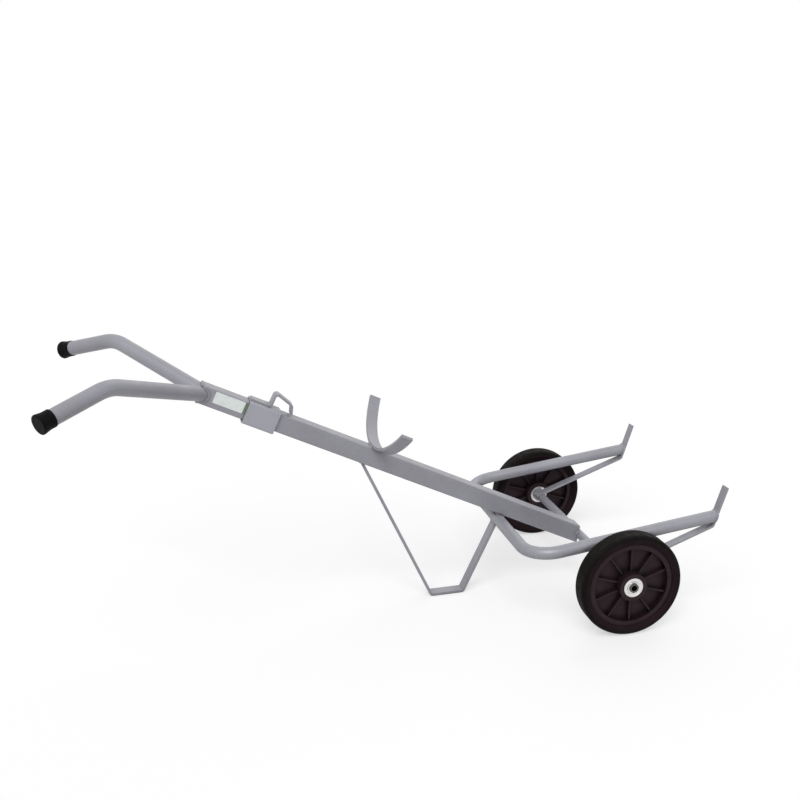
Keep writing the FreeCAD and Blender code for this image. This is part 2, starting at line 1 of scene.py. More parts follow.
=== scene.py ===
"""Looks of a drum trolley: painted steel frame, sliding rim hook, rubber wheels, in a plain studio."""
import json
import logging
import math
import random
from dataclasses import dataclass, field
from enum import Enum
from typing import Any, Optional, Protocol, Sequence, Union

import bmesh
import bpy
import numpy as np
from mathutils import Euler, Matrix, Vector


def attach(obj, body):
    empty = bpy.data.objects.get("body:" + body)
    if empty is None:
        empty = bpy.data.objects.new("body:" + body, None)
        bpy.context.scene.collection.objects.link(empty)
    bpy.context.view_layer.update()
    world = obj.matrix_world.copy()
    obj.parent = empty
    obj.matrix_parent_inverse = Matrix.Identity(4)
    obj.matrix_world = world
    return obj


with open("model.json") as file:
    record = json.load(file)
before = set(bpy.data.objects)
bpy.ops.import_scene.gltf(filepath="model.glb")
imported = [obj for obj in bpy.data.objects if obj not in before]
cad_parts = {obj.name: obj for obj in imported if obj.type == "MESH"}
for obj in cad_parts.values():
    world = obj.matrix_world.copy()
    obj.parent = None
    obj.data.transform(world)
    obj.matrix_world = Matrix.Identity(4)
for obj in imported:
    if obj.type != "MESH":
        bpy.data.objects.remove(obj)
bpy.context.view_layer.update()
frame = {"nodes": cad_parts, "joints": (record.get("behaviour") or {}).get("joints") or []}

log = logging.getLogger("drum_trolley")

MM = 0.001
DRAW_SEED = 7
WHITE = "#FFFFFF"
ACROSS = Vector((0.0, 1.0, 0.0))
UP = Vector((0.0, 0.0, 1.0))
# The whole reach of a pattern's value
WHOLE = (0.0, 1.0)
# How many rays a shader spends on finding edges and corners
EDGE_SAMPLES = 4
# The cosines of the turn at which a face counts as an edge, and as flat
EDGE_TURN = (0.86, 0.99)
# The colour sockets of a Mix node, by number because their names repeat
MIX_COLOURS = (6, 7)
MIX_RESULT = 2
# A closed ring's last point stops short of its first, in degrees
CLOSED_RING = (0.0, 352.5)

Material = bpy.types.Material
NodeTree = bpy.types.NodeTree
BMesh = bmesh.types.BMesh
BMVert = bmesh.types.BMVert
Socket = bpy.types.NodeSocket
Settings = dict[Union[str, int], Any]
Links = dict[Union[str, int], Socket]
Tone = Union[str, Socket]
Pair = tuple[float, float]
Triple = tuple[float, float, float]


class Body(Enum):
    """The bodies that pieces ride on."""

    FRAME = "frame"
    LEFT_WHEEL = "left_wheel"
    RIGHT_WHEEL = "right_wheel"
    RIM_CLAMP = "rim_clamp"


class Slot(Enum):
    """The record's material slots."""

    PAINT = "silver_paint"
    CAP = "black_plastic"
    TYRE = "tyre_rubber"
    HUB = "hub_plastic"
    STEEL = "bright_steel"


class Blend(Enum):
    """The ways in which a colour is laid over a tone."""

    COVER = "MIX"
    BRIGHTEN = "ADD"


class Side(Enum):
    """The two sides of the trolley, as the sign of Y."""

    LEFT = 1
    RIGHT = -1

    @property
    def word(self) -> str:
        """The side's name, as the nodes use it."""
        return self.name.lower()

    @property
    def wheel(self) -> Body:
        """The wheel's body on this side."""
        return Body[f"{self.name}_WHEEL"]


# Places
@dataclass(frozen=True)
class Layout:
    """The axle's place, the spine's directions and the axle's radius in millimetres."""

    axle: Vector
    up_spine: Vector
    off_spine: Vector
    axle_radius: float = 10.0

    @classmethod
    def from_joints(cls, joints: Sequence[dict[str, Any]]) -> "Layout":
        """Reads the axle from the wheel's hinge and the spine from the slide.

        Args:
            joints: the frame's joints.

        Returns:
            The layout that every added piece is placed by.
        """
        by_name = {joint["name"]: joint for joint in joints}
        hinge = Vector(by_name["left_wheel_spin"]["pos_m"])
        up_spine = Vector(by_name["clamp_slide"]["axis"]).normalized()
        off_spine = up_spine.cross(ACROSS)
        if off_spine.z < 0:
            off_spine.negate()
        return cls(Vector((hinge.x, 0.0, hinge.z)), up_spine, off_spine)

    def on_spine(self, along: float, across: float, above: float) -> Vector:
        """A point by its millimetres up the spine, to the left and above the spine's middle line."""
        return self.axle + (self.up_spine * along + ACROSS * across + self.off_spine * above) * MM

    def at_axle(self, ahead: float, across: float, above: float) -> Vector:
        """A point by its millimetres ahead of, to the left of and above the axle's middle."""
        return self.axle + Vector((ahead, across, above)) * MM


# Colours and nodes
def linear(hex_colour: str) -> tuple[float, float, float, float]:
    """Turns an sRGB colour into the linear one that shaders take.

    Args:
        hex_colour: six hex digits after a hash sign.

    Returns:
        Linear red, green, blue and an alpha of one.
    """
    shares = [int(hex_colour[start:start + 2], 16) / 255 for start in (1, 3, 5)]
    red, green, blue = (c / 12.92 if c <= 0.04045 else ((c + 0.055) / 1.055) ** 2.4 for c in shares)
    return red, green, blue, 1.0


def per_metre(size_mm: float) -> float:
    """The texture scale at which one feature is about this many millimetres across."""
    return 1.0 / (size_mm * MM)


def add(
    tree: NodeTree,
    kind: str,
    settings: Optional[Settings] = None,
    links: Optional[Links] = None,
) -> bpy.types.Node:
    """Adds a node with its settings and links.

    Args:
        tree: the node tree.
        kind: the node's type without its common prefix.
        settings: values of sockets or, where no socket has that name, of properties.
        links: sockets of other nodes that feed this node's sockets.

    Returns:
        The new node.
    """
    node = tree.nodes.new(f"ShaderNode{kind}")
    for name, setting in (settings or {}).items():
        if isinstance(name, str) and name not in node.inputs:
            setattr(node, name, setting)
    for name, setting in (settings or {}).items():
        if isinstance(name, int) or name in node.inputs:
            node.inputs[name].default_value = setting
    for name, source in (links or {}).items():
        tree.links.new(source, node.inputs[name])
    return node


@dataclass(frozen=True)
class Mottle:
    """Blotches of noise: their size, the shares they vary between and the part of the noise in use."""

    size_mm: float
    low: float = 0.0
    high: float = 1.0
    span: Pair = (0.3, 0.7)
    octaves: float = 3.0


@dataclass(frozen=True)
class Nooks:
    """Inner corners: how far they reach, their share, and the openness at which they are full and end."""

    reach_mm: float
    share: float
    span: Pair


@dataclass(frozen=True)
class Relief:
    """A fine relief: its depth, how much of it shows, and the radius that sharp edges seem to have."""

    depth_mm: float
    strength: float
    rounding_mm: float


@dataclass(frozen=True)
class Band:
    """A share that changes from nought to full between two distances."""

    start_mm: float
    stop_mm: float
    share: float = 1.0

    @property
    def settings(self) -> Settings:
        """The band as a range node's settings, in metres."""
        return {"From Min": self.start_mm * MM, "From Max": self.stop_mm * MM, "To Max": self.share}


@dataclass
class Surface:
    """A new material with its shader, its output and the coordinates that patterns use."""

    name: str
    material: Material = field(init=False)
    tree: NodeTree = field(init=False)
    shader: bpy.types.Node = field(init=False)
    place: Socket = field(init=False)

    def __post_init__(self) -> None:
        """Makes the empty material."""
        self.material = bpy.data.materials.new(self.name)
        self.material.use_nodes = True
        self.tree = self.material.node_tree
        self.tree.nodes.clear()
        self.shader = add(self.tree, "BsdfPrincipled")
        add(self.tree, "OutputMaterial", links={"Surface": self.shader.outputs["BSDF"]})
        self.place = add(self.tree, "TexCoord").outputs["Object"]

    def feed(self, **sources: Socket) -> None:
        """Links sockets to the shader, spaces in the names written as underscores."""
        for name, source in sources.items():
            self.tree.links.new(source, self.shader.inputs[name.replace("_", " ")])

    def set(self, **numbers: float) -> None:
        """Sets constant values on the shader, spaces in the names written as underscores."""
        for name, number in numbers.items():
            self.shader.inputs[name.replace("_", " ")].default_value = number

    def mottled(self, mottle: Mottle) -> Socket:
        """Blotches all over the surface.

        Args:
            mottle: their size and shares.

        Returns:
            The socket of their share.
        """
        grain = {"Scale": per_metre(mottle.size_mm), "Detail": mottle.octaves}
        noise = add(self.tree, "TexNoise", grain, {"Vector": self.place}).outputs["Fac"]
        start, stop = mottle.span
        stretch = {"From Min": start, "From Max": stop, "To Min": mottle.low, "To Max": mottle.high}
        return add(self.tree, "MapRange", stretch, {"Value": noise}).outputs["Result"]

    def cover(self, tone: Tone, colour: Tone, *masks: Socket, way: Blend = Blend.COVER) -> Socket:
        """Lays a colour over a tone where every mask is full.

        Args:
            tone: a hex colour or a socket.
            colour: a hex colour or a socket.
            masks: sockets of shares, which are multiplied.
            way: how the colour is laid.

        Returns:
            The socket of the covered tone.
        """
        share = masks[0]
        for mask in masks[1:]:
            share = add(self.tree, "Math", {"operation": "MULTIPLY"}, {0: share, 1: mask}).outputs[0]
        settings: Settings = {"data_type": "RGBA", "blend_type": way.value}
        links: Links = {0: share}
        for number, layer in zip(MIX_COLOURS, (tone, colour)):
            if isinstance(layer, str):
                settings[number] = linear(layer)
            else:
                links[number] = layer
        return add(self.tree, "Mix", settings, links).outputs[MIX_RESULT]

    def edges(self, radius_mm: float) -> Socket:
        """A mask of outer edges and creases.

        Args:
            radius_mm: how wide the mask is beside an edge.

        Returns:
            The socket of a value that is nought on flat and evenly curved faces.
        """
        rounded = add(self.tree, "Bevel", {"samples": EDGE_SAMPLES, "Radius": radius_mm * MM})
        flat = add(self.tree, "NewGeometry")
        normals = {0: rounded.outputs["Normal"], 1: flat.outputs["Normal"]}
        turn = add(self.tree, "VectorMath", {"operation": "DOT_PRODUCT"}, normals).outputs["Value"]
        edge, level = EDGE_TURN
        stretch = {"From Min": edge, "From Max": level, "To Min": 1.0, "To Max": 0.0}
        return add(self.tree, "MapRange", stretch, {"Value": turn}).outputs["Result"]

    def nooks(self, nooks: Nooks) -> Socket:
        """A mask of inner corners.

        Args:
            nooks: their reach and share.

        Returns:
            The socket of a value that is nought on open faces.
        """
        settings = {"samples": EDGE_SAMPLES, "Distance": nooks.reach_mm * MM}
        openness = add(self.tree, "AmbientOcclusion", settings).outputs["AO"]
        full, end = nooks.span
        stretch = {"From Min": full, "From Max": end, "To Min": nooks.share, "To Max": 0.0}
        return add(self.tree, "MapRange", stretch, {"Value": openness}).outputs["Result"]

    def from_axle(self, layout: Layout) -> Socket:
        """Distance from the axle's line.

        Args:
            layout: the trolley's layout.

        Returns:
            The socket of the distance in metres.
        """
        # The place across doesn't count
        flat = add(self.tree, "VectorMath", {"operation": "MULTIPLY", 1: (1.0, 0.0, 1.0)}, {0: self.place})
        settings = {"operation": "DISTANCE", 1: tuple(layout.axle)}
        return add(self.tree, "VectorMath", settings, {0: flat.outputs[0]}).outputs["Value"]

    def round_axle(self, layout: Layout, band: Band) -> Socket:
        """The socket of a share that changes with the distance from the axle's line."""
        links = {"Value": self.from_axle(layout)}
        return add(self.tree, "MapRange", band.settings, links).outputs["Result"]

    def off_middle(self, band: Band) -> Socket:
        """A share that changes with the distance from the trolley's middle plane.

        Args:
            band: the distances between which it changes.

        Returns:
            The socket of the share.
        """
        across = add(self.tree, "SeparateXYZ", links={0: self.place}).outputs["Y"]
        distance = add(self.tree, "Math", {"operation": "ABSOLUTE"}, {0: across}).outputs[0]
        return add(self.tree, "MapRange", band.settings, {"Value": distance}).outputs["Result"]

    def rings(self, layout: Layout, pitch_mm: float) -> Socket:
        """Even rings about the axle.

        Args:
            layout: the trolley's layout.
            pitch_mm: the distance from ring to ring.

        Returns:
            The socket of a value that waves between nought and one.
        """
        settings = {"operation": "MULTIPLY", 1: math.tau * per_metre(pitch_mm)}
        turns = add(self.tree, "Math", settings, {0: self.from_axle(layout)})
        wave = add(self.tree, "Math", {"operation": "SINE"}, {0: turns.outputs[0]})
        return add(self.tree, "MapRange", {"From Min": -1.0}, {"Value": wave.outputs[0]}).outputs["Result"]

    def relief(self, height: Socket, relief: Relief) -> None:
        """Gives the surface a fine relief over softly rounded edges.

        Args:
            height: the socket of the relief's height, from nought to one.
            relief: its depth, its strength and the rounding.
        """
        rounded = add(self.tree, "Bevel", {"samples": EDGE_SAMPLES, "Radius": relief.rounding_mm * MM})
        settings = {"Distance": relief.depth_mm * MM, "Strength": relief.strength}
        links = {"Height": height, "Normal": rounded.outputs["Normal"]}
        self.feed(Normal=add(self.tree, "Bump", settings, links).outputs["Normal"])


# Finishes
@dataclass(frozen=True)
class SprayedEnamel:
    """Silver-grey alkyd enamel, sprayed on mild steel tube and bar."""

    # An even satin grey with a fine pebbled gloss, a little paler where edges are rubbed,
    # and darker in inner corners: painted shade, made blotchy like settled dust
    name: str
    colour: str = "#97979F"
    patch: str = "#8C8B93"
    flake: str = "#C9C9CF"
    rubbed: str = "#AFAFB6"
    # The near black laid into inner corners is painted shade
    dust: str = "#3A3839"
    metallic: float = 0.2
    ior: float = 1.5
    edge_mm: float = 1.4
    patches: Mottle = Mottle(110.0)
    # Flakes are far finer; they are drawn as coarse as they need to show
    flakes: Mottle = Mottle(1.3, 0.0, 0.1, octaves=1.0)
    wear: Mottle = Mottle(14.0, 0.0, 0.6, (0.45, 0.75))
    corners: Nooks = Nooks(16.0, 0.9, (0.25, 0.85))
    settling: Mottle = Mottle(22.0, 0.5, 1.0)
    roughness: Mottle = Mottle(18.0, 0.36, 0.5)
    peel: Mottle = Mottle(2.6, span=WHOLE, octaves=2.0)
    peel_relief: Relief = Relief(0.12, 0.18, 0.7)

    def tone(self, surface: Surface) -> Socket:
        """The enamel's colour all over.

        Args:
            surface: the surface that takes it.

        Returns:
            The socket of the colour.
        """
        tone = surface.cover(self.colour, self.patch, surface.mottled(self.patches))
        tone = surface.cover(tone, self.flake, surface.mottled(self.flakes), way=Blend.BRIGHTEN)
        tone = surface.cover(tone, self.rubbed, surface.edges(self.edge_mm), surface.mottled(self.wear))
        # Painted shade: inner corners darkened in blotches
        return surface.cover(tone, self.dust, surface.nooks(self.corners), surface.mottled(self.settling))

    def make(self) -> Material:
        """Makes the enamel.

        Returns:
            The new material.
        """
        surface = Surface(self.name)
        surface.feed(Base_Color=self.tone(surface), Roughness=surface.mottled(self.roughness))
        surface.set(Metallic=self.metallic, IOR=self.ior)
        surface.relief(surface.mottled(self.peel), self.peel_relief)
        return surface.material


@dataclass(frozen=True)
class MaskedEnamel(SprayedEnamel):
    """The same enamel on the axle, whose ends were masked and left bare."""

    # Turned steel at the ends, dark with oil, with a painted highlight on the lip and the bore painted
    # black as shade
    layout: Layout = field(kw_only=True)
    oiled: str = "#3A3B3A"
    stain: str = "#4E4F4D"
    # A paler ring painted round the bore's edge as a highlight
    lip_highlight: str = "#8C8E8D"
    # Black painted into the bore as shade
    bore_shade: str = "#040404"
    stains: Mottle = Mottle(4.0, 0.0, 0.5)
    masked_band: Band = Band(299.6, 300.2)
    lip_band: Band = Band(8.2, 6.9)
    bore_band: Band = Band(7.0, 6.6)

    def tone(self, surface: Surface) -> Socket:
        """The enamel's colour, with oily ends, a painted highlight on the lip and painted shade in the
        bore.

        Args:
            surface: the surface that takes it.

        Returns:
            The socket of the colour.
        """
        bare = surface.cover(self.oiled, self.stain, surface.mottled(self.stains))
        # Painted highlight: a paler ring at the bore's edge
        bare = surface.cover(bare, self.lip_highlight, surface.round_axle(self.layout, self.lip_band))
        tone = surface.cover(super().tone(surface), bare, surface.off_middle(self.masked_band))
        # Painted shade: the bore's wall is made black
        return surface.cover(tone, self.bore_shade, surface.round_axle(self.layout, self.bore_band))


@dataclass(frozen=True)
class MouldedVinyl:
    """Soft black PVC, moulded."""

    # A dull skin with a faint grain and a grey bloom on its edges
    name: str
    colour: str = "#0A0909"
    bloom: str = "#1A1819"
    ior: float = 1.53
    specular: float = 0.06
    edge_mm: float = 1.2
    clouds: Mottle = Mottle(26.0, 0.0, 0.35)
    wear: Mottle = Mottle(9.0, 0.1, 0.8)
    roughness: Mottle = Mottle(8.0, 0.5, 0.66)
    # The grain is under half a millimetre; it is drawn coarser to show
    grain: Mottle = Mottle(1.1, span=WHOLE, octaves=2.0)
    grain_relief: Relief = Relief(0.15, 0.3, 0.8)

    def make(self) -> Material:
        """Makes the vinyl.

        Returns:
            The new material.
        """
        surface = Surface(self.name)
        tone = surface.cover(self.colour, self.bloom, surface.mottled(self.clouds))
        tone = surface.cover(tone, self.bloom, surface.edges(self.edge_mm), surface.mottled(self.wear))
        surface.feed(Base_Color=tone, Roughness=surface.mottled(self.roughness))
        surface.set(IOR=self.ior, Specular_IOR_Level=self.specular)
        surface.relief(surface.mottled(self.grain), self.grain_relief)
        return surface.material


@dataclass(frozen=True)
class SolidRubber:
    """Vulcanised black rubber of a solid tyre, pressed in a turned mould."""

    # Dull, brownish on its flanks, with fine rings from the mould and a dusty tread
    name: str
    layout: Layout
    flank: str = "#1D1317"
    film: str = "#25181E"
    tread: str = "#0D0B0A"
    dust: str = "#1F1C1A"
    ior: float = 1.52
    specular: float = 0.08
    films: Mottle = Mottle(34.0, 0.0, 0.8)
    shoulder_band: Band = Band(102.0, 107.0)
    tread_band: Band = Band(109.0, 112.0, 0.7)
    scuffs: Mottle = Mottle(7.0, octaves=5.0)
    roughness: Mottle = Mottle(12.0, 0.62, 0.8)
    ring_mm: float = 2.4
    ring_wear: Mottle = Mottle(5.0, 0.6, 1.0)
    ring_relief: Relief = Relief(0.25, 0.35, 0.8)

    def make(self) -> Material:
        """Makes the rubber.

        Returns:
            The new material.
        """
        surface = Surface(self.name)
        tone = surface.cover(self.flank, self.film, surface.mottled(self.films))
        tone = surface.cover(tone, self.tread, surface.round_axle(self.layout, self.shoulder_band))
        rolled = surface.round_axle(self.layout, self.tread_band)
        tone = surface.cover(tone, self.dust, rolled, surface.mottled(self.scuffs))
        surface.feed(Base_Color=tone, Roughness=surface.mottled(self.roughness))
        surface.set(IOR=self.ior, Specular_IOR_Level=self.specular)
        links = {0: surface.rings(self.layout, self.ring_mm), 1: surface.mottled(self.ring_wear)}
        height = add(surface.tree, "Math", {"operation": "MULTIPLY"}, links).outputs[0]
        surface.relief(height, self.ring_relief)
        return surface.material


@dataclass(frozen=True)
class MouldedPolypropylene:
    """Brownish black polypropylene of a wheel centre, injection moulded."""

    # A low sheen with soft flow marks, paler on the ribs' edges, with painted shade darkening the corners
    name: str
    colour: str = "#22141A"
    flow: str = "#2C1B23"
    rubbed: str = "#3B2D32"
    # Near black painted into the corners as shade
    grime: str = "#070405"
    ior: float = 1.49
    specular: float = 0.2
    edge_mm: float = 1.6
    flow_marks: Mottle = Mottle(30.0)
    wear: Mottle = Mottle(12.0, 0.0, 0.35)
    corners: Nooks = Nooks(13.0, 1.0, (0.45, 0.9))
    settling: Mottle = Mottle(20.0, 0.7, 1.0)
    roughness: Mottle = Mottle(16.0, 0.38, 0.55)
    # The spark-eroded mould skin is finer than this; it is drawn coarser to show
    skin: Mottle = Mottle(1.2, span=WHOLE, octaves=2.0)
    skin_relief: Relief = Relief(0.12, 0.25, 1.2)

    def make(self) -> Material:
        """Makes the polypropylene.

        Returns:
            The new material.
        """
        surface = Surface(self.name)
        tone = surface.cover(self.colour, self.flow, surface.mottled(self.flow_marks))
        tone = surface.cover(tone, self.rubbed, surface.edges(self.edge_mm), surface.mottled(self.wear))
        # Painted shade: the inner corners beside the ribs darkened nearly to black
        tone = surface.cover(tone, self.grime, surface.nooks(self.corners), surface.mottled(self.settling))
        surface.feed(Base_Color=tone, Roughness=surface.mottled(self.roughness))
        surface.set(IOR=self.ior, Specular_IOR_Level=self.specular)
        surface.relief(surface.mottled(self.skin), self.skin_relief)
        return surface.material


@dataclass(frozen=True)
class ZincPlate:
    """Bright zinc, plated on turned steel."""

    # Pale, with fine rings from the lathe and a few dull spots
    name: str
    layout: Layout
    colour: str = "#E3E1E0"
    spot: str = "#B9B7B4"
    metallic: float = 1.0
    spots: Mottle = Mottle(4.0, 0.0, 0.8, (0.5, 0.75))
    roughness: Mottle = Mottle(3.0, 0.3, 0.45)
    # The lathe's rings are under a tenth of a millimetre; they are drawn coarser to show
    ring_mm: float = 0.9
    ring_relief: Relief = Relief(0.03, 0.25, 0.3)

    def make(self) -> Material:
        """Makes the plated steel.

        Returns:
            The new material.
        """
        surface = Surface(self.name)
        tone = surface.cover(self.colour, self.spot, surface.mottled(self.spots))
        surface.feed(Base_Color=tone, Roughness=surface.mottled(self.roughness))
        surface.set(Metallic=self.metallic)
        surface.relief(surface.rings(self.layout, self.ring_mm), self.ring_relief)
        return surface.material


@dataclass(frozen=True)
class VinylFilm:
    """Self-adhesive vinyl film, rolled on by hand."""

    # Even and slightly glossy, with faint ripples and grey rubbed patches
    name: str
    colour: str
    rubbed: str
    ior: float = 1.54
    patches: Mottle = Mottle(9.0, 0.0, 0.8, (0.5, 0.8))
    roughness: Mottle = Mottle(6.0, 0.3, 0.42)
    ripples: Mottle = Mottle(11.0, span=WHOLE, octaves=2.0)
    ripple_relief: Relief = Relief(0.2, 0.25, 0.1)

    def make(self) -> Material:
        """Makes the film.

        Returns:
            The new material.
        """
        surface = Surface(self.name)
        tone = surface.cover(self.colour, self.rubbed, surface.mottled(self.patches))
        surface.feed(Base_Color=tone, Roughness=surface.mottled(self.roughness))
        surface.set(IOR=self.ior)
        surface.relief(surface.mottled(self.ripples), self.ripple_relief)
        return surface.material


# Meshes
def arc(centre: Vector, first: Vector, second: Vector, sweep: Pair, steps: int = 48) -> list[Vector]:
    """Points on part of an ellipse.

    Args:
        centre: its centre in metres.
        first: its first half axis in metres.
        second: its second half axis in metres.
        sweep: the first and the last angle in degrees.
        steps: how many runs it is cut into.

    Returns:
        The points in order.
    """
    start, stop = sweep
    angles = [math.radians(start + (stop - start) * step / steps) for step in range(steps + 1)]
    return [centre + first * math.cos(angle) + second * math.sin(angle) for angle in angles]


def bridge(bm: BMesh, rings: list[list[BMVert]], closed: bool) -> None:
    """Joins rings of points by a skin of four-sided faces.

    Args:
        bm: the mesh that takes the faces.
        rings: the rings in order, each with as many points.
        closed: whether the last ring joins the first.
    """
    following = rings[1:] + (rings[:1] if closed else [])
    for first, second in zip(rings, following):
        for step in range(len(first)):
            after = (step + 1) % len(first)
            bm.faces.new((first[step], first[after], second[after], second[step]))


def piece_from(
    bm: BMesh,
    name: str,
    body: Body,
    materials: Sequence[Material],
) -> bpy.types.Object:
    """Turns a finished mesh into a piece that rides on a body.

    Args:
        bm: the mesh, which is freed.
        name: the piece's name.
        body: the body it rides on.
        materials: its materials in the order of its faces' indices.

    Returns:
        The new object.
    """
    bmesh.ops.recalc_face_normals(bm, faces=bm.faces)
    mesh = bpy.data.meshes.new(name)
    bm.to_mesh(mesh)
    bm.free()
    mesh.shade_smooth()
    piece = bpy.data.objects.new(name, mesh)
    bpy.context.scene.collection.objects.link(piece)
    for material in materials:
        mesh.materials.append(material)
    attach(piece, body.value)
    log.info("piece %s rides on %s", name, body.value)
    return piece


@dataclass(frozen=True)
class Bead:
    """A weld bead: its radius and the pitch of its ripples in millimetres, and how much they stand out."""

    radius: float
    pitch: float = 3.2
    ripple_share: float = 0.1
    uneven_share: float = 0.04
    end_share: float = 0.45
    growth_share: float = 0.3
    sides: int = 12
    steps_per_ripple: int = 6
    least_steps: int = 4

    def resampled(self, path: Sequence[Vector], closed: bool) -> list[Vector]:
        """Even points along a path.

        Args:
            path: the corners of the path in metres.
            closed: whether the last point joins the first.

        Returns:
            The points in order.
        """
        corners = np.array([tuple(point) for point in path] + ([tuple(path[0])] if closed else []))
        runs = np.linalg.norm(np.diff(corners, axis=0), axis=1)
        reach = np.concatenate([[0.0], np.cumsum(runs)])
        count = max(self.least_steps, round(reach[-1] / (self.pitch * MM) * self.steps_per_ripple))
        stops = np.linspace(0.0, reach[-1], count + 1)[:count + (0 if closed else 1)]
        columns = [np.interp(stops, reach, corners[:, axis]) for axis in range(3)]
        return [Vector(row) for row in np.column_stack(columns)]

    def lay(self, bm: BMesh, path: Sequence[Vector], closed: bool, draw: random.Random) -> None:
        """Lays the bead along a path, into a mesh.

        Args:
            bm: the mesh that takes the bead.
            path: the corners of the path in metres.
            closed: whether the bead joins its own start.
            draw: the source of unevenness.
        """
        points = self.resampled(path, closed)
        last = len(points) - 1
        rings = []
        side = None
        for index, point in enumerate(points):
            before = points[index - 1] if index or closed else point
            after = points[(index + 1) % len(points)] if index < last or closed else point
            ahead = (after - before).normalized()
            seed = side or (ACROSS if abs(ahead.dot(ACROSS)) < abs(ahead.dot(UP)) else UP)
            side = (seed - ahead * seed.dot(ahead)).normalized()
            rise = ahead.cross(side)
            wave = abs(math.sin(math.pi * index / self.steps_per_ripple))
            swell = 1 + self.ripple_share * (wave - 0.5) + draw.uniform(-1, 1) * self.uneven_share
            if not closed:
                swell *= min(1.0, self.end_share + self.growth_share * min(index, last - index))
            reach = self.radius * MM * swell
            angles = [math.tau * step / self.sides for step in range(self.sides)]
            spokes = [side * math.cos(angle) + rise * math.sin(angle) for angle in angles]
            rings.append([bm.verts.new(point + spoke * reach) for spoke in spokes])
        bridge(bm, rings, closed)
        if not closed:
            bm.faces.new(rings[0])
            bm.faces.new(rings[-1])


# Sub-assemblies
class SubAssembly(Protocol):
    """What the trolley is made up from."""

    def build(self) -> None:
        """Builds the meshes that it adds."""

    def dress(self) -> None:
        """Gives its pieces their finishes."""


@dataclass
class Dresser:
    """What every sub-assembly needs: the layout, the finishes by slot and one seeded draw."""

    layout: Layout
    finishes: dict[Slot, Material]
    # The enamel runs smoother over a weld
    weld_coat: SprayedEnamel = SprayedEnamel(
        "silver_enamel_on_weld",
        roughness=Mottle(18.0, 0.3, 0.42),
        peel=Mottle(1.6, span=WHOLE, octaves=2.0),
    )
    weld_finish: Material = field(init=False)
    draw: random.Random = field(default_factory=lambda: random.Random(DRAW_SEED))

    def __post_init__(self) -> None:
        """Makes the welds' finish."""
        self.weld_finish = self.weld_coat.make()

    def dress(self, names: Sequence[str], slot: Slot, finish: Optional[Material] = None) -> None:
        """Puts a slot's finish on CAD nodes.

        Args:
            names: the nodes.
            slot: their slot in the record.
            finish: a variant of the slot's finish.
        """
        for name in names:
            node = frame["nodes"][name]
            node.data.materials.clear()
            node.data.materials.append(finish or self.finishes[slot])
            log.info("node %s wears %s", name, slot.value)

    def weld(
        self,
        name: str,
        bead: Bead,
        paths: Sequence[Sequence[Vector]],
        body: Body = Body.FRAME,
        closed: bool = False,
    ) -> None:
        """Lays beads along paths as one piece.

        Args:
            name: the piece's name.
            bead: the bead's size.
            paths: the paths in metres.
            body: the body that the weld rides on.
            closed: whether the paths are loops.
        """
        bm = bmesh.new()
        for path in paths:
            bead.lay(bm, path, closed, self.draw)
        piece_from(bm, name, body, [self.weld_finish])


